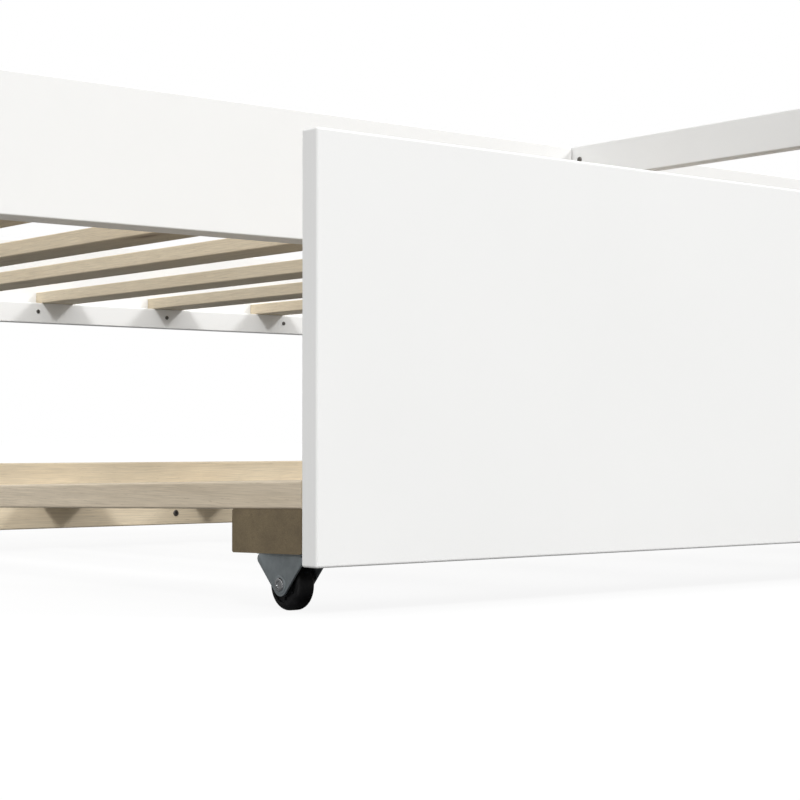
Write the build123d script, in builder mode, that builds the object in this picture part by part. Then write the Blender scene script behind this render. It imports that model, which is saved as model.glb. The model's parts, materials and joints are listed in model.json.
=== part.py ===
from build123d import *
import math
import os

# A queen-width platform bed with a pull-out trundle under it, in millimetres.
# X runs along the bed, -Y is the side the trundle comes out of, +Z is up.
# The origin is on the floor, under the middle of the whole object with the
# trundle pulled out to its rest position.

# Upper bed frame
bed_length = 2116.0
bed_depth = 1560.0
board = 20.0
rail_top = 537.5
rail_bottom = 379.5
leg_side = 70.0
corner_side = 60.0
corner_top = 510.0
ledger_depth = 25.0
front_ledger_height = 32.0
back_ledger_height = 40.0
slat_width = 71.0
slat_thickness = 22.0
upper_slat_x = [-938.0, -733.0, -482.0, -258.0, 12.0, 272.0, 532.0, 792.0, 938.0]
edge_round = 2.0
ledger_screw_pitch = 300.0
ledger_screw_rise = 14.5
ledger_screw_shift = -32.0
slat_screw_inset = 9.0

# Narrow return rail that comes forward from the joint in the front rail
return_x = -23.0
return_length = 500.0
return_height = 47.0
joint_gap = 2.0
splice_length = 220.0
splice_top = 531.5
splice_lift = 12.0
splice_screw_reach = 73.0

# Trundle
trundle_out = 691.0
trundle_length = 1962.0
trundle_depth = 1010.0
panel_bottom = 39.0
panel_top = 375.0
bearer_depth = 94.0
bearer_bottom = 47.0
bearer_top = 81.0
back_rail_bottom = 26.0
back_rail_top = 108.0
deck_fall = 24.0
deck_pitch = 220.5
deck_angle_gaps = (0, 3, 7)
deck_screw_rise = 15.0
deck_screw_shift = -45.0
joint_play = 0.5

# Rigid casters
wheel_radius = 21.0
wheel_width = 17.0
wheel_crown = 5.0
axle_radius = 3.5
axle_play = 0.05
axle_head_radius = 5.5
axle_head_height = 1.6
fork_sheet = 2.0
fork_inner = 21.0
fork_length = 62.0
fork_foot = 9.5
fork_bend = 2.5
fork_screw_y = 24.0
hub_groove = 1.5
groove_inner = 8.0
groove_outer = 13.0
caster_inset = 36.0
caster_setback = 61.0
block_width = 90.0
block_depth = 80.0

# Steel angles that hold the panel upright on the bearer
angle_sheet = 2.0
angle_width = 30.0
angle_foot = 40.0
angle_height = 60.0

# Fasteners: head radius, head height, shank radius and shank depth
screw = (4.0, 1.5, 2.0, 12.0)
sunk_screw = (3.8, 1.8, 2.0, 14.0)
sunk_below = 0.2
bolt = (6.5, 3.0, 3.0, 30.0)
shank_play = 0.1
head_taper = 25.0
bolt_rise = 35.0
return_screw_ahead = 14.0
return_screw_drop = 19.0

# Places worked out from the sizes above
total_depth = bed_depth + trundle_out
bed_front = -total_depth / 2 + trundle_out
bed_back = total_depth / 2
half_bed = bed_length / 2
inner_front = bed_front + board
inner_back = bed_back - board
inner_half = half_bed - board
bed_middle = (bed_front + bed_back) / 2
slat_bottom = rail_bottom + front_ledger_height
slat_top = slat_bottom + slat_thickness

trundle_front = -total_depth / 2
panel_back = trundle_front + board
trundle_back = trundle_front + trundle_depth
back_rail_face = trundle_back - board
half_trundle = trundle_length / 2
deck_run = back_rail_face - panel_back
end_deck_x = half_trundle - slat_width / 2
deck_x = [-end_deck_x] + [deck_pitch * i for i in range(-3, 4)] + [end_deck_x]
deck_slope = deck_fall / deck_run
deck_tilt = -math.degrees(math.atan(deck_slope))
plate_rise = (bearer_bottom - wheel_radius) / math.cos(math.radians(deck_tilt))
bearer_back = panel_back + bearer_depth
back_ledger_face = back_rail_face - ledger_depth
front_wheel_y = panel_back + caster_setback
back_wheel_y = back_ledger_face - block_depth / 2
wheel_x = half_trundle - caster_inset

os.makedirs("parts", exist_ok=True)


def save(piece, name):
    """Labels a finished piece and writes its STEP file."""
    part = getattr(piece, "part", piece)
    part.label = name
    export_step(part, f"parts/{name}.step")


def drill(planes, fastener):
    """Blind holes for the shanks of fasteners whose heads sit on these planes."""
    for plane in planes:
        with Locations(plane):
            Hole(fastener[2] + shank_play, fastener[3] + shank_play)


def countersink(planes):
    """Blind holes with conical mouths for screws whose heads lie under these planes."""
    mouth = sunk_screw[0] + sunk_below + shank_play
    for plane in planes:
        with Locations(plane):
            CounterSinkHole(sunk_screw[2] + shank_play, mouth, sunk_screw[3] + 2 * sunk_below, 90)


def sunk_screws(name, planes):
    """Countersunk screws as one group, their heads a hair under the planes."""
    head_radius, head_height, shank_radius, shank_depth = sunk_screw
    hanging = (Align.CENTER, Align.CENTER, Align.MAX)
    with BuildPart() as group:
        for plane in planes:
            with Locations(plane.offset(-sunk_below)):
                Cone(shank_radius, head_radius, head_height, align=hanging)
                Cylinder(shank_radius, shank_depth, align=hanging)
    save(group, name)


def fasteners(name, planes, fastener):
    """Identical fasteners as one group: heads on their planes, shanks behind."""
    head_radius, head_height, shank_radius, shank_depth = fastener
    with BuildPart() as group:
        for plane in planes:
            with BuildSketch(plane):
                Circle(head_radius)
            extrude(amount=head_height, taper=head_taper)
            with BuildSketch(plane):
                Circle(shank_radius)
            extrude(amount=-shank_depth)
    save(group, name)


def bar(name, x, y, z, holes=(), fastener=screw, sunk=()):
    """A straight board between two corners, with its long edges eased."""
    size = (x[1] - x[0], y[1] - y[0], z[1] - z[0])
    middle = ((x[0] + x[1]) / 2, (y[0] + y[1]) / 2, (z[0] + z[1]) / 2)
    along = (Axis.X, Axis.Y, Axis.Z)[size.index(max(size))]
    with BuildPart() as piece:
        with Locations(middle):
            Box(*size)
        fillet(piece.edges().filter_by(along), edge_round)
        drill(holes, fastener)
        countersink(sunk)
    save(piece, name)


def sloping_bar(name, x, y, bottom_at, top_at, holes):
    """A board along the bed whose top and underside both fall towards the back."""
    with BuildPart() as piece:
        with BuildSketch(Plane.YZ.offset(x[0])):
            with BuildLine():
                low = [(place, bottom_at(place)) for place in y]
                high = [(place, top_at(place)) for place in reversed(y)]
                Polyline(*low, *high, close=True)
            make_face()
        extrude(amount=x[1] - x[0])
        fillet(piece.edges().filter_by(Axis.X), edge_round)
        drill(holes, screw)
    save(piece, name)


def facing(x, y, z, way):
    """The plane of a fastener's head at a point, looking out along way."""
    return Plane(origin=(x, y, z), z_dir=way)


def slat_bottom_at(y):
    """Height of the underside of the trundle's slats at a place along them."""
    return bearer_top - (y - bearer_back) * deck_slope


def front_seat_at(y):
    """Height of the underside of the bearer, where the front casters are screwed on."""
    return wheel_radius + plate_rise - (y - front_wheel_y) * deck_slope


def back_seat_at(y):
    """Height of the underside of the blocks that the back casters are screwed to."""
    return wheel_radius + plate_rise - (y - back_wheel_y) * deck_slope


def caster_screw(x, y, ahead):
    """The plane of a caster screw's head, under its fork's tilted plate."""
    arm = Vector(0, ahead, bearer_bottom - fork_sheet - wheel_radius).rotate(Axis.X, deck_tilt)
    way = Vector(0, 0, -1).rotate(Axis.X, deck_tilt)
    return Plane(origin=Vector(x, y, wheel_radius) + arm, z_dir=way)


# Long rails. The front rail is two boards, with the return rail between them.
left_end = return_x - board / 2 - joint_gap
right_start = return_x + board / 2 + joint_gap
rail_z = (rail_bottom, rail_top)
bar("front_rail_left", (-half_bed, left_end), (bed_front, inner_front), rail_z)
bar("front_rail_right", (right_start, half_bed), (bed_front, inner_front), rail_z)
bar("back_rail", (-half_bed, half_bed), (inner_back, bed_back), rail_z)

# End rails, between the long rails
bar("left_end_rail", (-half_bed, -inner_half), (inner_front, inner_back), rail_z)
bar("right_end_rail", (inner_half, half_bed), (inner_front, inner_back), rail_z)

# Return rail, through the joint and flush with the top of the front rail
return_screw = facing(
    return_x - board / 2, bed_front - return_screw_ahead, rail_top - return_screw_drop, (-1, 0, 0)
)
with BuildPart() as return_rail:
    reach = return_length + board
    with Locations((return_x, inner_front - reach / 2, rail_top - return_height / 2)):
        Box(board, reach, return_height)
    fillet(return_rail.edges().filter_by(Axis.Y), edge_round)
    drill([return_screw], screw)
save(return_rail, "return_rail")
fasteners("return_rail_screw", [return_screw], screw)

# Splice behind the joint, above the slats
splice_x = (return_x - splice_length / 2, return_x + splice_length / 2)
splice_y = (inner_front, inner_front + board)
splice_z = (slat_top + splice_lift, splice_top)
splice_middle = (splice_z[0] + splice_z[1]) / 2
splice_screws = [
    facing(return_x + side * splice_screw_reach, splice_y[1], splice_middle + rise, (0, 1, 0))
    for side in (-1, 1)
    for rise in (-bolt_rise, bolt_rise)
]
bar("rail_splice", splice_x, splice_y, splice_z, splice_screws)

# Legs under the corners, and blocks inside them that take the rail bolts
corners = {
    "front_left": (-1, bed_front, 1),
    "front_right": (1, bed_front, 1),
    "back_left": (-1, bed_back, -1),
    "back_right": (1, bed_back, -1),
}
frame_bolts = []
block_middle = (rail_bottom + corner_top) / 2
for place, (side, face, inward) in corners.items():
    block_x = sorted((side * inner_half, side * (inner_half - corner_side)))
    block_y = sorted((face + inward * board, face + inward * (board + corner_side)))
    bolt_y = face + inward * (board + corner_side)
    block_bolts = [
        facing(sum(block_x) / 2, bolt_y, block_middle + rise, (0, inward, 0))
        for rise in (-bolt_rise, bolt_rise)
    ]
    frame_bolts += block_bolts
    bar(f"corner_block_{place}", block_x, block_y, (rail_bottom, corner_top), block_bolts, bolt)
    with BuildPart() as leg:
        with BuildSketch(Plane.XY):
            with Locations((side * (half_bed - leg_side / 2), face + inward * leg_side / 2)):
                RectangleRounded(leg_side, leg_side, 2 * edge_round)
        extrude(amount=rail_bottom)
        chamfer(leg.faces().sort_by(Axis.Z)[0].edges(), edge_round)
    save(leg, f"leg_{place}")
fasteners("frame_bolts", frame_bolts, bolt)

# Ledgers between the corner blocks. The back one hangs a little below its rail.
ledger_x = (-inner_half + corner_side, inner_half - corner_side)
front_ledger_z = (rail_bottom, slat_bottom)
back_ledger_z = (slat_bottom - back_ledger_height, slat_bottom)
ledger_screw_z = rail_bottom + ledger_screw_rise
front_ledger_face = inner_front + ledger_depth
upper_ledger_face = inner_back - ledger_depth
screw_x = [ledger_screw_shift + ledger_screw_pitch * i for i in range(-3, 4)]
front_ledger_screws = [facing(x, front_ledger_face, ledger_screw_z, (0, 1, 0)) for x in screw_x]
back_ledger_screws = [facing(x, upper_ledger_face, ledger_screw_z, (0, -1, 0)) for x in screw_x]
bar("front_ledger", ledger_x, (inner_front, front_ledger_face), front_ledger_z, front_ledger_screws)
bar("back_ledger", ledger_x, (upper_ledger_face, inner_back), back_ledger_z, back_ledger_screws)
fasteners("ledger_screws", splice_screws + front_ledger_screws + back_ledger_screws, screw)

# Upper slats, each screwed down to both ledgers
slat_y = (inner_front + joint_play, inner_back - joint_play)
slat_screws = []
for number, x in enumerate(upper_slat_x, 1):
    ends = [
        facing(x, y, slat_top, (0, 0, 1))
        for y in (front_ledger_face - slat_screw_inset, upper_ledger_face + slat_screw_inset)
    ]
    slat_screws += ends
    sides = (x - slat_width / 2, x + slat_width / 2)
    bar(f"slat_{number}", sides, slat_y, (slat_bottom, slat_top), sunk=ends)
sunk_screws("slat_screws", slat_screws)

# Trundle front panel, clear of the floor and of the front rail above it
with BuildPart() as panel:
    with Locations((0, trundle_front + board / 2, (panel_bottom + panel_top) / 2)):
        Box(trundle_length, board, panel_top - panel_bottom)
    fillet(panel.edges(), edge_round)
save(panel, "trundle_panel")

# Bearer: a flat rail behind the panel that carries the slats and the front casters
trundle_x = (-half_trundle, half_trundle)
casters = {
    "front_left": (-wheel_x, front_wheel_y),
    "front_right": (wheel_x, front_wheel_y),
    "back_left": (-wheel_x, back_wheel_y),
    "back_right": (wheel_x, back_wheel_y),
}
caster_screws = {
    place: [caster_screw(x, y, ahead) for ahead in (-fork_screw_y, fork_screw_y)]
    for place, (x, y) in casters.items()
}
front_screws = caster_screws["front_left"] + caster_screws["front_right"]
bearer_y = (panel_back, bearer_back)
sloping_bar("trundle_bearer", trundle_x, bearer_y, front_seat_at, slat_bottom_at, front_screws)

# Steel angles between the panel and the bearer, in the gaps between slats
for number, gap in enumerate(deck_angle_gaps, 1):
    x = (deck_x[gap] + deck_x[gap + 1]) / 2
    with BuildPart() as angle:
        with BuildSketch(Plane.YZ.offset(x - angle_width / 2)):
            with BuildLine():
                tip_y = panel_back + angle_foot
                corner_z = slat_bottom_at(panel_back)
                foot = Line((tip_y, slat_bottom_at(tip_y)), (panel_back, corner_z))
                Line(foot @ 1, (panel_back, corner_z + angle_height))
                offset(amount=angle_sheet, side=Side.RIGHT)
            make_face()
        extrude(amount=angle_width)
    save(angle, f"panel_angle_{number}")

# Slats of the trundle. They lie on the bearer's back edge and fall to the back rail.
deck_y = (panel_back + joint_play, back_rail_face - joint_play)
lean = Vector(0, deck_slope, 1).normalized()
trundle_screws = []
for number, x in enumerate(deck_x, 1):
    ends = [
        facing(x, y, slat_bottom_at(y) + slat_thickness, lean)
        for y in (panel_back + bearer_depth / 2, back_rail_face - ledger_depth / 2)
    ]
    trundle_screws += ends
    with BuildPart() as deck_slat:
        with BuildSketch(Plane.YZ.offset(x - slat_width / 2)):
            with BuildLine():
                low = [(y, slat_bottom_at(y)) for y in deck_y]
                high = [(y, slat_bottom_at(y) + slat_thickness) for y in reversed(deck_y)]
                Polyline(*low, *high, close=True)
            make_face()
        extrude(amount=slat_width)
        long_edges = deck_slat.edges().filter_by(lambda edge: edge.length > deck_run / 2)
        fillet(long_edges, edge_round)
        countersink(ends)
    save(deck_slat, f"trundle_slat_{number}")
sunk_screws("trundle_slat_screws", trundle_screws)

# Back rail of the trundle, with the ledger that takes the low ends of the slats
back_ledger_top = slat_bottom_at(back_rail_face)
low_screw_z = back_rail_bottom + deck_screw_rise
low_screw_x = [deck_screw_shift + ledger_screw_pitch * (i + 0.5) for i in range(-3, 3)]
low_ledger_screws = [facing(x, back_ledger_face, low_screw_z, (0, -1, 0)) for x in low_screw_x]
back_rail_z = (back_rail_bottom, back_rail_top)
low_ledger_z = (back_rail_bottom, back_ledger_top)
bar("trundle_back_rail", trundle_x, (back_rail_face, trundle_back), back_rail_z)
bar("trundle_ledger", trundle_x, (back_ledger_face, back_rail_face), low_ledger_z, low_ledger_screws)
fasteners("trundle_ledger_screws", low_ledger_screws, screw)

# Blocks that bring the back casters to the height of the bearer
block_y = (back_ledger_face - block_depth, back_ledger_face)
for side, place in ((-1, "back_left"), (1, "back_right")):
    block_x = sorted((side * half_trundle, side * (half_trundle - block_width)))
    screws = caster_screws[place]
    sloping_bar(f"caster_block_{place}", block_x, block_y, back_seat_at, slat_bottom_at, screws)

# Rigid casters: a folded fork, an axle rivet through it and a wheel between its cheeks
fork_width = fork_inner + 2 * fork_sheet
groove_middle = (groove_inner + groove_outer) / 2
for place, (x, y) in casters.items():
    with BuildPart() as fork:
        with Locations((x, y, bearer_bottom - fork_sheet / 2)):
            Box(fork_width, fork_length, fork_sheet)
        for cheek in (x - fork_width / 2, x + fork_inner / 2):
            with BuildSketch(Plane.YZ.offset(cheek)):
                with Locations((y, wheel_radius)):
                    Circle(fork_foot)
                with Locations((y, bearer_bottom - fork_sheet / 2)):
                    Rectangle(fork_length, fork_sheet)
                make_hull()
            extrude(amount=fork_sheet)
        fillet(fork.faces().sort_by(Axis.Z)[-1].edges().filter_by(Axis.Y), fork_bend - fork_sheet / 4)
        with Locations(Plane.YZ.offset(x + fork_width / 2)):
            with Locations((y, wheel_radius)):
                Hole(axle_radius, fork_width)
        with Locations(*[(x, y + ahead, bearer_bottom) for ahead in (-fork_screw_y, fork_screw_y)]):
            Hole(screw[2] + shank_play, fork_sheet)
    tilted_fork = fork.part.rotate(Axis((x, y, wheel_radius), (1, 0, 0)), deck_tilt)
    save(tilted_fork, f"caster_fork_{place}")
    with BuildPart() as wheel:
        with BuildSketch(Plane.XZ.offset(-y)):
            with Locations((x, (wheel_radius + wheel_radius * 2) / 2)):
                Rectangle(wheel_width, wheel_radius)
            fillet(vertices().group_by(Axis.Y)[-1], wheel_crown)
            with Locations((x, wheel_radius + (axle_radius + axle_play) / 2)):
                Rectangle(wheel_width, axle_radius + axle_play, mode=Mode.SUBTRACT)
            for side in (-1, 1):
                with Locations((x + side * wheel_width / 2, wheel_radius + groove_middle)):
                    Rectangle(2 * hub_groove, groove_outer - groove_inner, mode=Mode.SUBTRACT)
        revolve(axis=Axis((x, y, wheel_radius), (1, 0, 0)))
    save(wheel, f"wheel_{place}")

# Axle rivets and caster screws, each kind as one group
with BuildPart() as rivets:
    for x, y in casters.values():
        with BuildSketch(Plane.YZ.offset(x - fork_width / 2)):
            with Locations((y, wheel_radius)):
                Circle(axle_radius)
        extrude(amount=fork_width)
        for side in (-1, 1):
            with BuildSketch(facing(x + side * fork_width / 2, y, wheel_radius, (side, 0, 0))):
                Circle(axle_head_radius)
            extrude(amount=axle_head_height, taper=head_taper)
save(rivets, "axle_rivets")
fasteners("caster_screws", [plane for planes in caster_screws.values() for plane in planes], screw)
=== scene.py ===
import json
import math

import bmesh
import bpy
from mathutils import Matrix, Vector


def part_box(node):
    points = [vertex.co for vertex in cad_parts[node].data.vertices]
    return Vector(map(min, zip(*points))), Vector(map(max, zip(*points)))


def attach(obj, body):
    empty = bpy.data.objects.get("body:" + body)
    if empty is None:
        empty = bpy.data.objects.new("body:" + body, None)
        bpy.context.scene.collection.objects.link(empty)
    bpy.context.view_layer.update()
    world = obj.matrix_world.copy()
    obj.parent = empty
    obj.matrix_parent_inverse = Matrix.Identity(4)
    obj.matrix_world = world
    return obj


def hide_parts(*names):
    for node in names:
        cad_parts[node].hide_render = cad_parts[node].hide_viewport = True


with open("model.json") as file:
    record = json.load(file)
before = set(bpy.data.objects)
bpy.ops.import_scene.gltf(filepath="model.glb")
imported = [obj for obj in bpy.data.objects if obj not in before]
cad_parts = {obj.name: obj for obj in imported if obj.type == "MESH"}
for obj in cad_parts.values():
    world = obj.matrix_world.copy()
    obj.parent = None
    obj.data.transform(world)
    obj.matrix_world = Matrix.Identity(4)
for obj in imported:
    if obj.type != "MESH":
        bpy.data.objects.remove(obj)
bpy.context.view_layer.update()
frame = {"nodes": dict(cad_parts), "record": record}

# Everything is in metres. Places come from the frame, sizes from these names.
MM = 0.001
camera_ahead = 1.1435  # from the panel's front to the camera
camera_left = 0.850  # from the panel's left end to the camera
camera_height = 0.1351
camera_turn = math.radians(39.16)  # from +Y towards +X
camera_rise = math.radians(1.27)
camera_lens = 84.5
film_width = 36.0
camera_reach = 100.0

# Stage
floor_half = 200.0
floor_shade = 0.10  # how much of the floor's look is shade, the rest being plain white
floor_white = 0.90
floor_felt = 0.20  # how light the floor is to the bed above it
sky_high = 0.95
sky_low = 0.22
sky_full = 0.60  # how far up the sky reaches its full strength
# Each light: the way it comes from, its strength, and its spread in degrees
left_light = ((-0.58, -0.85, 0.75), 1.36, 12.0)
right_light = ((0.75, -0.80, 0.70), 1.36, 12.0)
low_light = ((-1.0, -0.30, -0.18), 0.38, 14.0)


# ---------------------------------------------------------------- node helpers
def group(name, inputs, outputs):
    """A shader node group with its sockets, and its input and output nodes."""
    tree = bpy.data.node_groups.new(name, "ShaderNodeTree")
    for label, kind, value in inputs:
        socket = tree.interface.new_socket(label, in_out="INPUT", socket_type=kind)
        if value is not None:
            socket.default_value = value
    for label, kind in outputs:
        tree.interface.new_socket(label, in_out="OUTPUT", socket_type=kind)
    return tree, tree.nodes.new("NodeGroupInput"), tree.nodes.new("NodeGroupOutput")


def noise(tree, vector, scale, detail=4.0, roughness=0.5, distortion=0.0):
    node = tree.nodes.new("ShaderNodeTexNoise")
    node.inputs["Scale"].default_value = scale
    node.inputs["Detail"].default_value = detail
    node.inputs["Roughness"].default_value = roughness
    node.inputs["Distortion"].default_value = distortion
    tree.links.new(vector, node.inputs["Vector"])
    return node.outputs["Fac"]


def stretch(tree, vector, scale):
    """The vector scaled along each axis by its own amount."""
    node = tree.nodes.new("ShaderNodeMapping")
    node.inputs["Scale"].default_value = scale
    tree.links.new(vector, node.inputs["Vector"])
    return node.outputs["Vector"]


def ramp(tree, value, stops):
    """A straight colour ramp of (position, colour) stops."""
    node = tree.nodes.new("ShaderNodeValToRGB")
    elements = node.color_ramp.elements
    while len(elements) > 1:
        elements.remove(elements[-1])
    elements[0].position, elements[0].color = stops[0]
    for position, colour in stops[1:]:
        elements.new(position).color = colour
    tree.links.new(value, node.inputs["Fac"])
    return node.outputs["Color"]


def grey(value):
    return (value, value, value, 1.0)


def math_node(tree, operation, a, b):
    node = tree.nodes.new("ShaderNodeMath")
    node.operation = operation
    for socket, value in zip(node.inputs, (a, b)):
        if isinstance(value, (int, float)):
            socket.default_value = value
        else:
            tree.links.new(value, socket)
    return node.outputs[0]


def mix_colours(tree, factor, a, b, blend="MIX"):
    node = tree.nodes.new("ShaderNodeMix")
    node.data_type = "RGBA"
    node.blend_type = blend
    for socket, value in zip((node.inputs[0], node.inputs[6], node.inputs[7]), (factor, a, b)):
        if isinstance(value, (int, float, tuple)):
            socket.default_value = value
        else:
            tree.links.new(value, socket)
    return node.outputs[2]


# ---------------------------------------------------------------- node groups
# How close together each pattern of the grain lies, along the grain and across it
wander_pitch = (1.6, 9.0, 9.0)
band_pitch = (2.4, 55.0, 55.0)
fibre_pitch = (22.0, 900.0, 900.0)
pore_pitch = (60.0, 1500.0, 1500.0)
board_pitch = (0.05, 6.3, 6.3)
streak_pitch = (9.0, 190.0, 190.0)
knot_pitch = (1.9, 9.0, 9.0)
# How strongly each pattern shows
band_strength = 0.55
wander_strength = 0.30
streak_strength = 0.38
pore_strength = 0.35
knot_strength = 0.75
pore_dip = 0.5
wood_roughness = 0.52
wood_roughness_spread = 0.18


def make_grain_group():
    """Long softwood grain: growth bands, fine fibres, pores and a few knots."""
    tree, start, end = group(
        "softwood_grain",
        [("Vector", "NodeSocketVector", None), ("Light", "NodeSocketColor", grey(0.6)),
         ("Dark", "NodeSocketColor", grey(0.4)), ("Knot", "NodeSocketColor", grey(0.1))],
        [("Color", "NodeSocketColor"), ("Roughness", "NodeSocketFloat"), ("Height", "NodeSocketFloat")],
    )
    place = start.outputs["Vector"]
    light, dark, knot = (start.outputs[label] for label in ("Light", "Dark", "Knot"))
    # The vector comes in with the grain along its X.
    wander = noise(tree, stretch(tree, place, wander_pitch), 1.0, 2.0)
    bands = noise(tree, stretch(tree, place, band_pitch), 1.0, 5.0, 0.6, 0.35)
    fibres = noise(tree, stretch(tree, place, fibre_pitch), 1.0, 3.0, 0.6)
    pores = noise(tree, stretch(tree, place, pore_pitch), 1.0, 2.0)
    band_mask = ramp(tree, bands, [(0.30, grey(0.0)), (0.52, grey(0.45)), (0.72, grey(1.0))])
    tone_mask = ramp(tree, wander, [(0.30, grey(0.0)), (0.70, grey(1.0))])
    # Slow change from board to board, the same all along one board.
    board = noise(tree, stretch(tree, place, board_pitch), 1.0, 0.0)
    board_tone = ramp(tree, board, [(0.25, grey(0.80)), (0.75, grey(1.10))])
    base = mix_colours(tree, math_node(tree, "MULTIPLY", band_mask, band_strength), light, dark)
    base = mix_colours(tree, math_node(tree, "MULTIPLY", tone_mask, wander_strength), base, dark)
    fibre_tone = ramp(tree, fibres, [(0.30, grey(0.82)), (0.70, grey(1.07))])
    streaks = noise(tree, stretch(tree, place, streak_pitch), 1.0, 4.0, 0.65, 0.5)
    streak_mask = ramp(tree, streaks, [(0.55, grey(0.0)), (0.68, grey(1.0))])
    base = mix_colours(tree, math_node(tree, "MULTIPLY", streak_mask, streak_strength), base, dark)
    base = mix_colours(tree, 1.0, base, fibre_tone, "MULTIPLY")
    base = mix_colours(tree, 1.0, base, board_tone, "MULTIPLY")
    pore_mask = ramp(tree, pores, [(0.66, grey(0.0)), (0.74, grey(1.0))])
    base = mix_colours(tree, math_node(tree, "MULTIPLY", pore_mask, pore_strength), base, knot)
    cells = tree.nodes.new("ShaderNodeTexVoronoi")
    cells.inputs["Scale"].default_value = 1.0
    cells.inputs["Randomness"].default_value = 1.0
    tree.links.new(stretch(tree, place, knot_pitch), cells.inputs["Vector"])
    knot_stops = [(0.035, grey(1.0)), (0.075, grey(0.35)), (0.14, grey(0.0))]
    knot_mask = ramp(tree, cells.outputs["Distance"], knot_stops)
    base = mix_colours(tree, math_node(tree, "MULTIPLY", knot_mask, knot_strength), base, knot)
    rough = math_node(tree, "MULTIPLY_ADD", fibres, wood_roughness_spread)
    rough.node.inputs[2].default_value = wood_roughness
    height = math_node(tree, "SUBTRACT", fibres, math_node(tree, "MULTIPLY", pore_mask, pore_dip))
    tree.links.new(base, end.inputs["Color"])
    tree.links.new(rough, end.inputs["Roughness"])
    tree.links.new(height, end.inputs["Height"])
    return tree


def make_mottle_group():
    """Soft uneven tone and a fine texture, for paint, plastic and plating."""
    tree, start, end = group(
        "surface_mottle",
        [("Vector", "NodeSocketVector", None), ("Color", "NodeSocketColor", grey(0.8)),
         ("Shade", "NodeSocketColor", grey(0.7)), ("Patch Scale", "NodeSocketFloat", 6.0),
         ("Fine Scale", "NodeSocketFloat", 900.0), ("Roughness", "NodeSocketFloat", 0.4),
         ("Spread", "NodeSocketFloat", 0.1)],
        [("Color", "NodeSocketColor"), ("Roughness", "NodeSocketFloat"), ("Height", "NodeSocketFloat")],
    )
    place = start.outputs["Vector"]
    patches = noise(tree, place, 6.0, 5.0, 0.55)
    tree.links.new(start.outputs["Patch Scale"], patches.node.inputs["Scale"])
    fine = noise(tree, place, 900.0, 2.0, 0.5)
    tree.links.new(start.outputs["Fine Scale"], fine.node.inputs["Scale"])
    mask = ramp(tree, patches, [(0.40, grey(0.0)), (0.75, grey(1.0))])
    colour = mix_colours(tree, mask, start.outputs["Color"], start.outputs["Shade"])
    rough = math_node(tree, "MULTIPLY_ADD", math_node(tree, "SUBTRACT", patches, 0.5), 0.1)
    tree.links.new(start.outputs["Spread"], rough.node.inputs[1])
    tree.links.new(start.outputs["Roughness"], rough.node.inputs[2])
    tree.links.new(colour, end.inputs["Color"])
    tree.links.new(rough, end.inputs["Roughness"])
    tree.links.new(fine, end.inputs["Height"])
    return tree


softwood_grain = make_grain_group()
surface_mottle = make_mottle_group()


# ---------------------------------------------------------------- materials
def material(name, shared_group, values, bump, distance, turn=None):
    """A principled material fed by one of the node groups, on Object coordinates."""
    made = bpy.data.materials.new(name)
    made.use_nodes = True
    tree = made.node_tree
    shader = tree.nodes["Principled BSDF"]
    place = tree.nodes.new("ShaderNodeTexCoord").outputs["Object"]
    if turn:
        mapping = tree.nodes.new("ShaderNodeMapping")
        mapping.inputs["Rotation"].default_value = turn
        tree.links.new(place, mapping.inputs["Vector"])
        place = mapping.outputs["Vector"]
    node = tree.nodes.new("ShaderNodeGroup")
    node.node_tree = shared_group
    tree.links.new(place, node.inputs["Vector"])
    for label, value in values.items():
        node.inputs[label].default_value = value
    relief = tree.nodes.new("ShaderNodeBump")
    relief.inputs["Strength"].default_value = bump
    relief.inputs["Distance"].default_value = distance
    tree.links.new(node.outputs["Height"], relief.inputs["Height"])
    tree.links.new(node.outputs["Color"], shader.inputs["Base Color"])
    tree.links.new(node.outputs["Roughness"], shader.inputs["Roughness"])
    tree.links.new(relief.outputs["Normal"], shader.inputs["Normal"])
    return made, shader


def paint_finish():
    """Satin white lacquer on smooth board, with a faint roller texture."""
    values = {
        "Color": (0.86, 0.86, 0.85, 1.0), "Shade": (0.835, 0.835, 0.825, 1.0),
        "Patch Scale": 3.0, "Fine Scale": 420.0, "Roughness": 0.42, "Spread": 0.12,
    }
    made, shader = material("white_lacquer", surface_mottle, values, 0.08, 0.0004)
    shader.inputs["Coat Weight"].default_value = 0.15
    shader.inputs["Coat Roughness"].default_value = 0.25
    return made


def wood_finish(name, turn, light, dark):
    """Planed bare softwood, with its grain along the piece."""
    values = {"Light": light, "Dark": dark, "Knot": (0.20, 0.125, 0.07, 1.0)}
    made, shader = material(name, softwood_grain, values, 0.25, 0.0006, turn=turn)
    shader.inputs["Specular IOR Level"].default_value = 0.3
    return made


def zinc_finish():
    """Zinc-plated pressed steel, grey with a blue cast."""
    values = {
        "Color": (0.47, 0.52, 0.54, 1.0), "Shade": (0.36, 0.40, 0.42, 1.0),
        "Patch Scale": 120.0, "Fine Scale": 2500.0, "Roughness": 0.36, "Spread": 0.3,
    }
    made, shader = material("zinc_plating", surface_mottle, values, 0.12, 0.0002)
    shader.inputs["Metallic"].default_value = 0.9
    return made


def rivet_finish():
    """Bright turned steel of the axle rivets."""
    values = {
        "Color": (0.55, 0.56, 0.57, 1.0), "Shade": (0.42, 0.43, 0.44, 1.0),
        "Patch Scale": 300.0, "Fine Scale": 3000.0, "Roughness": 0.28, "Spread": 0.3,
    }
    made, shader = material("bright_steel", surface_mottle, values, 0.1, 0.0002)
    shader.inputs["Metallic"].default_value = 1.0
    return made


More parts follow.
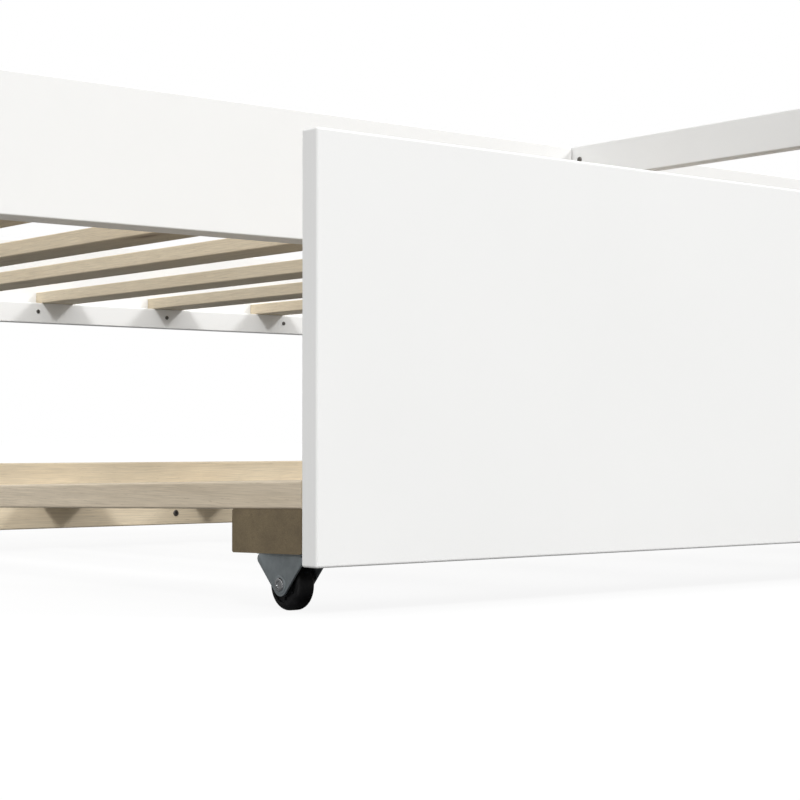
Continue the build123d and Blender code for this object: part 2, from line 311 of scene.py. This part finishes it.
def screw_finish():
    """Dark plated steel of the wood screws and bolts."""
    values = {
        "Color": (0.16, 0.15, 0.14, 1.0), "Shade": (0.09, 0.085, 0.08, 1.0),
        "Patch Scale": 400.0, "Fine Scale": 3000.0, "Roughness": 0.4, "Spread": 0.3,
    }
    made, shader = material("dark_steel", surface_mottle, values, 0.1, 0.0002)
    shader.inputs["Metallic"].default_value = 0.85
    return made


def wheel_finish():
    """Moulded black plastic, with a rubbed sheen."""
    values = {
        "Color": (0.004, 0.004, 0.0045, 1.0), "Shade": (0.010, 0.010, 0.011, 1.0),
        "Patch Scale": 160.0, "Fine Scale": 2200.0, "Roughness": 0.38, "Spread": 0.35,
    }
    made, shader = material("black_moulding", surface_mottle, values, 0.2, 0.0003)
    shader.inputs["Specular IOR Level"].default_value = 0.25
    return made


quarter_turn = (0.0, 0.0, -math.pi / 2)  # for grain that runs along Y
finishes = {
    "white_paint": paint_finish(),
    "zinc_plate": zinc_finish(),
    "rivet_steel": rivet_finish(),
    "screw_steel": screw_finish(),
    "wheel_black": wheel_finish(),
}
cream_wood = ((0.93, 0.81, 0.61, 1.0), (0.76, 0.63, 0.45, 1.0))
pale_wood = ((0.80, 0.70, 0.53, 1.0), (0.62, 0.51, 0.36, 1.0))
grey_wood = ((0.68, 0.59, 0.46, 1.0), (0.50, 0.42, 0.31, 1.0))
# Painted shade: the bearers and caster blocks get a dark brown wood that stands for the shade they sit
# in under the slats.
shade_dark_wood = ((0.20, 0.155, 0.09, 1.0), (0.10, 0.075, 0.047, 1.0))
# The first name that a wooden node starts with gives its wood.
timber = {
    "trundle_bearer": wood_finish("shade_dark_bearer_wood", None, *shade_dark_wood),
    "caster_block": wood_finish("shade_dark_block_wood", None, *shade_dark_wood),
    "trundle_slat": wood_finish("trundle_slat_wood", quarter_turn, *grey_wood),
    "slat": wood_finish("bed_slat_wood", quarter_turn, *pale_wood),
    "trundle": wood_finish("trundle_rail_wood", None, *cream_wood),
}


def dress_frame():
    """Gives every CAD node the finish of its slot in the record."""
    slots = {row["node"]: row["material_slot"] for row in frame["record"]["subparts"]}
    for name, node in frame["nodes"].items():
        slot = slots[name]
        if slot == "bare_softwood":
            chosen = next(wood for kind, wood in timber.items() if name.startswith(kind))
        else:
            chosen = finishes[slot]
        node.data.materials.clear()
        node.data.materials.append(chosen)


dress_frame()


# ---------------------------------------------------------------- pieces
up = Vector((0.0, 0.0, 1.0))
smooth_limit = math.radians(32.0)
caster_places = ("front_left", "front_right", "back_left", "back_right")

# How many sides the round pieces have
round_sides = 48
wheel_sides = 64
screw_sides = 32
shank_sides = 24
rivet_sides = 32

# Screws and bolts: radius and height of the head, radius and length of the shank
pan_screw_size = (4.0 * MM, 1.5 * MM, 2.0 * MM, 12.0 * MM)
sunk_screw_size = (3.8 * MM, 1.8 * MM, 2.0 * MM, 14.0 * MM)
frame_bolt_size = (6.5 * MM, 3.0 * MM, 3.0 * MM, 30.0 * MM)
dome_share = 0.75  # of the head's height
tip_share = 0.5  # of the shank's radius
recess_arm = 1.15  # the cross recess, in head radii
recess_width = 0.24
recess_depth = 0.9  # in head heights
recess_narrowing = 0.45
screw_turn = 1.3  # radians from one screw to the next
merge_gap = 1e-6
seat_share = 0.93  # of the widest ring
tip_slack = 0.1 * MM
tip_slack_share = 0.05  # of the fastener's length

# Wheels
wheel_crown = 5.0 * MM
rim_land = 1.0 * MM
web_depth = 1.5 * MM
web_width = 4.0 * MM
wall_slant = 0.5 * MM
hub_land = 3.4 * MM
hub_slant = 0.4 * MM
hub_sink = 1.2 * MM
rib_count = 6
rib_middle = 10.5 * MM
rib_width = 1.6 * MM
rib_reach = 4.6 * MM
rib_sink_share = 0.75  # of the web's depth
rib_round = 0.25 * MM

# Forks
sheet = 2.0 * MM
fold_radius = 0.9 * sheet
fork_length = 62.0 * MM
fork_play = 0.1 * MM
plate_rise = 26.0 * MM  # from the axle to the plate's top
deck_tilt = math.radians(1.455)
cheek_corner = 4.0 * MM
cheek_round = 0.4 * MM
flat_limit = math.radians(1.0)
eye_radius = 7.6 * MM
eye_rise = 0.5 * MM
eye_sink = 0.1 * MM
eye_round_share = 0.6  # of the eye's rise

# Axle rivets
rivet_radius = 3.5 * MM
rivet_head = 5.6 * MM
rivet_rise = 1.6 * MM
rivet_land = 2.6 * MM
rivet_slant = 0.5 * MM
rivet_hollow = 0.9 * MM
rivet_round_share = 0.75  # of the head's rise


def finish(shape, name, made, body, nodes):
    """Turns a built shape into a piece that rides on its body and stands for its nodes."""
    bmesh.ops.recalc_face_normals(shape, faces=shape.faces)
    for edge in shape.edges:
        edge.smooth = len(edge.link_faces) == 2 and edge.calc_face_angle(0.0) < smooth_limit
    for face in shape.faces:
        face.smooth = True
    mesh = bpy.data.meshes.new(name)
    shape.to_mesh(mesh)
    shape.free()
    mesh.materials.append(made)
    piece = bpy.data.objects.new(name, mesh)
    bpy.context.scene.collection.objects.link(piece)
    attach(piece, body)
    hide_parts(*nodes)


def disc(shape, radius, height, matrix, sides, top_radius=None):
    """A round stub from z = 0 up to its height, placed by the matrix."""
    middle = Matrix.Translation((0.0, 0.0, height / 2))
    made = bmesh.ops.create_cone(
        shape, cap_ends=True, segments=sides, radius1=radius,
        radius2=radius if top_radius is None else top_radius, depth=height,
        matrix=matrix @ middle,
    )
    return made["verts"]


def cap_face(verts, way):
    """The face among these corners that looks most along a direction."""
    faces = {face for vert in verts for face in vert.link_faces}
    for face in faces:
        face.normal_update()
    return max(faces, key=lambda face: (round(face.normal.dot(way), 3), face.calc_area()))


def step_in(shape, face, thickness, depth):
    """Insets a face and moves it along its normal; the face itself stays the middle one."""
    bmesh.ops.inset_individual(shape, faces=[face], thickness=thickness, depth=depth)


def round_edges(shape, edges, amount, steps):
    bmesh.ops.bevel(
        shape, geom=list(edges), offset=amount, segments=steps,
        affect="EDGES", profile=0.5, material=-1,
    )


def fastener_template(head_radius, head_height, shank_radius, shank_depth, sunk):
    """One screw pointing down from z = 0, its head domed or countersunk, with a cross recess."""
    shape = bmesh.new()
    if sunk:
        lower = Matrix.Translation((0.0, 0.0, -head_height))
        disc(shape, shank_radius, head_height, lower, screw_sides, head_radius)
        crown = 0.0
    else:
        head = disc(shape, head_radius, head_height, Matrix.Identity(4), screw_sides)
        top = cap_face(head, up)
        round_edges(shape, top.edges, dome_share * head_height, 5)
        crown = head_height
    below = Matrix.Translation((0.0, 0.0, -shank_depth))
    stem = disc(shape, shank_radius, shank_depth, below, shank_sides)
    round_edges(shape, cap_face(stem, -up).edges, tip_share * shank_radius, 3)
    body = bpy.data.objects.new("screw_blank", bpy.data.meshes.new("screw_blank"))
    shape.to_mesh(body.data)
    shape.free()
    cutter_shape = bmesh.new()
    arm, width = recess_arm * head_radius, recess_width * head_radius
    depth = recess_depth * head_height
    for turn in (0.0, math.pi / 2):
        size = Matrix.Diagonal((arm, width, 2 * depth, 1.0))
        place = Matrix.Translation((0.0, 0.0, crown)) @ Matrix.Rotation(turn, 4, "Z")
        bmesh.ops.create_cube(cutter_shape, size=1.0, matrix=place @ size)
    for vert in cutter_shape.verts:
        if vert.co.z < crown:
            vert.co.x *= recess_narrowing
            vert.co.y *= recess_narrowing
    cutter = bpy.data.objects.new("recess", bpy.data.meshes.new("recess"))
    cutter_shape.to_mesh(cutter.data)
    cutter_shape.free()
    scene = bpy.context.scene.collection
    scene.objects.link(body)
    scene.objects.link(cutter)
    cut = body.modifiers.new("recess", "BOOLEAN")
    cut.operation = "DIFFERENCE"
    cut.solver = "EXACT"
    cut.use_self = True
    cut.object = cutter
    view = bpy.context.evaluated_depsgraph_get()
    mesh = bpy.data.meshes.new_from_object(body.evaluated_get(view))
    for spare in (body, cutter):
        old = spare.data
        bpy.data.objects.remove(spare)
        bpy.data.meshes.remove(old)
    return mesh


def fastener_places(node):
    """Where each fastener of a CAD group sits: matrices with Z out of the head, at its seat."""
    shape = bmesh.new()
    shape.from_mesh(frame["nodes"][node].data)
    bmesh.ops.remove_doubles(shape, verts=shape.verts, dist=merge_gap)
    left = set(shape.verts)
    places = []
    while left:
        stack, island = [left.pop()], []
        while stack:
            vert = stack.pop()
            island.append(vert.co.copy())
            for edge in vert.link_edges:
                other = edge.other_vert(vert)
                if other in left:
                    left.discard(other)
                    stack.append(other)
        places.append(seat_of(island))
    shape.free()
    return sorted(places, key=lambda matrix: tuple(round(value, 4) for value in matrix.translation))


def seat_of(points):
    """The matrix of one fastener: its widest ring is its seat, and its far end is its tip."""
    low = Vector([min(point[i] for point in points) for i in range(3)])
    high = Vector([max(point[i] for point in points) for i in range(3)])
    size = high - low
    along = max(range(3), key=lambda i: size[i])
    middle = (low + high) / 2

    def from_axis(point):
        return math.hypot(*(point[i] - middle[i] for i in range(3) if i != along))

    widest = max(from_axis(point) for point in points)
    ring = [point for point in points if from_axis(point) > seat_share * widest]
    seat = sum(ring, Vector()) / len(ring)
    tip_level = max((low[along], high[along]), key=lambda level: abs(level - seat[along]))
    near = tip_slack + tip_slack_share * size[along]
    tip_ring = [point for point in points if abs(point[along] - tip_level) < near]
    tip = sum(tip_ring, Vector()) / len(tip_ring)
    out = (seat - tip).normalized()
    return Matrix.Translation(seat) @ out.to_track_quat("Z", "Y").to_matrix().to_4x4()


def make_fasteners(node, body, template):
    """All the fasteners of one group, each turned a little differently in its hole."""
    shape = bmesh.new()
    for number, place in enumerate(fastener_places(node)):
        turned = template.copy()
        turned.transform(place @ Matrix.Rotation(number * screw_turn, 4, "Z"))
        shape.from_mesh(turned)
        bpy.data.meshes.remove(turned)
    finish(shape, f"{node}_detail", finishes["screw_steel"], body, [node])


def make_wheel(place):
    """A moulded wheel: crowned tread, a rim, a sunk web with ribs and a hub."""
    node = f"wheel_{place}"
    low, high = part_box(node)
    centre = (low + high) / 2
    radius, width = (high.z - low.z) / 2, high.x - low.x
    across = Matrix.Translation(centre) @ Matrix.Rotation(math.pi / 2, 4, "Y")
    shape = bmesh.new()
    bottom = across @ Matrix.Translation((0.0, 0.0, -width / 2))
    verts = disc(shape, radius, width, bottom, wheel_sides)
    side_way = Vector((1.0, 0.0, 0.0))
    sides = [cap_face(verts, side_way), cap_face(verts, -side_way)]
    round_edges(shape, [edge for face in sides for edge in face.edges], wheel_crown, 6)
    for way in (side_way, -side_way):
        face = cap_face(shape.verts, way)
        step_in(shape, face, rim_land, 0.0)
        step_in(shape, face, wall_slant, -web_depth)
        step_in(shape, face, web_width, 0.0)
        step_in(shape, face, wall_slant, web_depth)
        step_in(shape, face, hub_land, 0.0)
        step_in(shape, face, hub_slant, -hub_sink)
        for rib in range(rib_count):
            turn = Matrix.Rotation(rib * 2 * math.pi / rib_count, 4, "X")
            sunk = width / 2 - rib_sink_share * web_depth
            lift = Matrix.Translation((way.x * sunk, 0.0, rib_middle))
            size = Matrix.Diagonal((web_depth, rib_width, rib_reach, 1.0))
            rib_place = Matrix.Translation(centre) @ turn @ lift @ size
            made = bmesh.ops.create_cube(shape, size=1.0, matrix=rib_place)
            edges = {edge for vert in made["verts"] for edge in vert.link_edges}
            round_edges(shape, edges, rib_round, 2)
    finish(shape, f"{node}_detail", finishes["wheel_black"], node, [node])


def make_fork(place):
    """A pressed fork: a plate folded down into two tapering cheeks with raised axle eyes."""
    node = f"caster_fork_{place}"
    low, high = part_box(node)
    wheel_low, wheel_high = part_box(f"wheel_{place}")
    axle = (wheel_low + wheel_high) / 2
    width, top = high.x - low.x, axle.z + plate_rise
    shape = bmesh.new()
    plate_size = Matrix.Diagonal((width - fork_play, fork_length, sheet, 1.0))
    plate_place = Matrix.Translation((axle.x, axle.y, top - sheet / 2))
    plate = bmesh.ops.create_cube(shape, size=1.0, matrix=plate_place @ plate_size)
    folds = [
        edge for edge in {edge for vert in plate["verts"] for edge in vert.link_edges}
        if all(vert.co.z > top - sheet / 2 for vert in edge.verts)
        and abs(edge.verts[0].co.x - edge.verts[1].co.x) < fork_play
    ]
    round_edges(shape, folds, fold_radius, 5)
    for side in (-1, 1):
        outer = axle.x + side * width / 2
        turn = Matrix.Rotation(side * math.pi / 2, 4, "Y")
        base = outer - side * sheet
        cheek = bmesh.new()
        foot = axle.z - low.z
        disc(cheek, foot, sheet, Matrix.Translation((base, axle.y, axle.z)) @ turn, round_sides)
        for end in (-1, 1):
            corner_y = axle.y + end * (fork_length / 2 - cheek_corner)
            corner_z = top - fold_radius - cheek_corner
            corner = Matrix.Translation((base, corner_y, corner_z)) @ turn
            disc(cheek, cheek_corner, sheet, corner, round_sides)
        hull = bmesh.ops.convex_hull(cheek, input=cheek.verts)
        spare = [item for key in ("geom_interior", "geom_unused") for item in hull[key]]
        loose = [item for item in spare if isinstance(item, bmesh.types.BMVert)]
        bmesh.ops.delete(cheek, geom=loose)
        way = Vector((side, 0.0, 0.0))
        bmesh.ops.dissolve_limit(
            cheek, angle_limit=flat_limit, verts=cheek.verts, edges=cheek.edges
        )
        round_edges(cheek, cap_face(cheek.verts, way).edges, cheek_round, 3)
        mesh = bpy.data.meshes.new("cheek")
        cheek.to_mesh(mesh)
        cheek.free()
        shape.from_mesh(mesh)
        bpy.data.meshes.remove(mesh)
        eye_place = Matrix.Translation((outer - side * eye_sink, axle.y, axle.z)) @ turn
        eye = disc(shape, eye_radius, eye_rise, eye_place, round_sides)
        round_edges(shape, cap_face(eye, way).edges, eye_round_share * eye_rise, 4)
    tilt = Matrix.Rotation(-deck_tilt, 3, "X")
    bmesh.ops.rotate(shape, verts=shape.verts, cent=axle, matrix=tilt)
    finish(shape, f"{node}_detail", finishes["zinc_plate"], "trundle", [node])


def make_rivets():
    """Axle rivets with rolled, hollow heads at both ends."""
    shape = bmesh.new()
    for place in caster_places:
        low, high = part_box(f"wheel_{place}")
        axle = (low + high) / 2
        fork_low, fork_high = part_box(f"caster_fork_{place}")
        half = (fork_high.x - fork_low.x) / 2
        turn = Matrix.Rotation(math.pi / 2, 4, "Y")
        start = Matrix.Translation((axle.x - half, axle.y, axle.z)) @ turn
        disc(shape, rivet_radius, 2 * half, start, rivet_sides)
        for side in (-1, 1):
            way = Vector((side, 0.0, 0.0))
            turn = Matrix.Rotation(side * math.pi / 2, 4, "Y")
            head_place = Matrix.Translation((axle.x + side * half, axle.y, axle.z)) @ turn
            head = disc(shape, rivet_head, rivet_rise, head_place, round_sides)
            face = cap_face(head, way)
            rim = list(face.edges)
            step_in(shape, face, rivet_land, 0.0)
            step_in(shape, face, rivet_slant, -rivet_hollow)
            round_edges(shape, rim, rivet_round_share * rivet_rise, 5)
    rivet_steel = finishes["rivet_steel"]
    finish(shape, "axle_rivets_detail", rivet_steel, "trundle", ["axle_rivets"])


pan_screw = fastener_template(*pan_screw_size, False)
sunk_screw = fastener_template(*sunk_screw_size, True)
frame_bolt = fastener_template(*frame_bolt_size, False)
for fastener_group, fastener_body, fastener_shape in (
    ("slat_screws", "bed_frame", sunk_screw),
    ("trundle_slat_screws", "trundle", sunk_screw),
    ("ledger_screws", "bed_frame", pan_screw),
    ("trundle_ledger_screws", "trundle", pan_screw),
    ("caster_screws", "trundle", pan_screw),
    ("return_rail_screw", "bed_frame", pan_screw),
    ("frame_bolts", "bed_frame", frame_bolt),
):
    make_fasteners(fastener_group, fastener_body, fastener_shape)
for caster_place in caster_places:
    make_wheel(caster_place)
    make_fork(caster_place)
make_rivets()


# ---------------------------------------------------------------- stage
def only_for_camera(tree, seen, felt):
    """Mixes two shaders: one for what is seen, the other for the light it throws back."""
    path = tree.nodes.new("ShaderNodeLightPath")
    blend = tree.nodes.new("ShaderNodeMixShader")
    tree.links.new(path.outputs["Is Camera Ray"], blend.inputs[0])
    tree.links.new(felt, blend.inputs[1])
    tree.links.new(seen, blend.inputs[2])
    return blend.outputs[0]


def make_floor():
    """A wide pale floor that throws little light back up under the bed."""
    mesh = bpy.data.meshes.new("floor")
    shape = bmesh.new()
    bmesh.ops.create_grid(shape, x_segments=1, y_segments=1, size=floor_half)
    shape.to_mesh(mesh)
    shape.free()
    floor = bpy.data.objects.new("floor", mesh)
    bpy.context.scene.collection.objects.link(floor)
    made = bpy.data.materials.new("pale_floor")
    made.use_nodes = True
    tree = made.node_tree
    tree.nodes.remove(tree.nodes["Principled BSDF"])
    plain = tree.nodes.new("ShaderNodeEmission")
    shaded = tree.nodes.new("ShaderNodeBsdfDiffuse")
    shaded.inputs["Color"].default_value = grey(floor_white)
    seen = tree.nodes.new("ShaderNodeMixShader")
    seen.inputs[0].default_value = floor_shade
    tree.links.new(plain.outputs[0], seen.inputs[1])
    tree.links.new(shaded.outputs[0], seen.inputs[2])
    felt = tree.nodes.new("ShaderNodeBsdfDiffuse")
    felt.inputs["Color"].default_value = grey(floor_felt)
    mixed = only_for_camera(tree, seen.outputs[0], felt.outputs[0])
    tree.links.new(mixed, tree.nodes["Material Output"].inputs["Surface"])
    mesh.materials.append(made)
    floor.visible_shadow = False


def make_world():
    """A surround that looks white and lights the bed from above, dimmer near the ground."""
    world = bpy.data.worlds.new("studio")
    world.use_nodes = True
    tree = world.node_tree
    felt = tree.nodes["Background"]
    way = tree.nodes.new("ShaderNodeSeparateXYZ")
    tree.links.new(tree.nodes.new("ShaderNodeTexCoord").outputs["Generated"], way.inputs[0])
    height = ramp(tree, way.outputs["Z"], [(0.0, grey(sky_low)), (sky_full, grey(sky_high))])
    tree.links.new(height, felt.inputs["Color"])
    seen = tree.nodes.new("ShaderNodeBackground")
    seen.inputs["Color"].default_value = grey(1.0)
    mixed = only_for_camera(tree, seen.outputs[0], felt.outputs[0])
    tree.links.new(mixed, tree.nodes["World Output"].inputs["Surface"])
    bpy.context.scene.world = world


def sun(name, coming_from, strength, spread):
    """An even light over the whole object from one direction, with soft-edged shadows."""
    light = bpy.data.lights.new(name, "SUN")
    light.energy = strength
    light.angle = math.radians(spread)
    holder = bpy.data.objects.new(name, light)
    holder.rotation_euler = Vector(coming_from).to_track_quat("Z", "Y").to_euler()
    bpy.context.scene.collection.objects.link(holder)


def make_camera():
    """The camera stands in front of the panel's left end, just above the trundle."""
    low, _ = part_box("trundle_panel")
    data = bpy.data.cameras.new("camera")
    data.sensor_width = film_width
    data.lens = camera_lens
    data.clip_end = camera_reach
    camera = bpy.data.objects.new("camera", data)
    camera.location = (low.x - camera_left, low.y - camera_ahead, camera_height)
    camera.rotation_euler = (math.pi / 2 + camera_rise, 0.0, -camera_turn)
    bpy.context.scene.collection.objects.link(camera)
    bpy.context.scene.camera = camera


make_floor()
make_world()
make_camera()
sun("left_light", *left_light)
sun("right_light", *right_light)
sun("low_light", *low_light)
bpy.context.scene.view_settings.view_transform = "Standard"
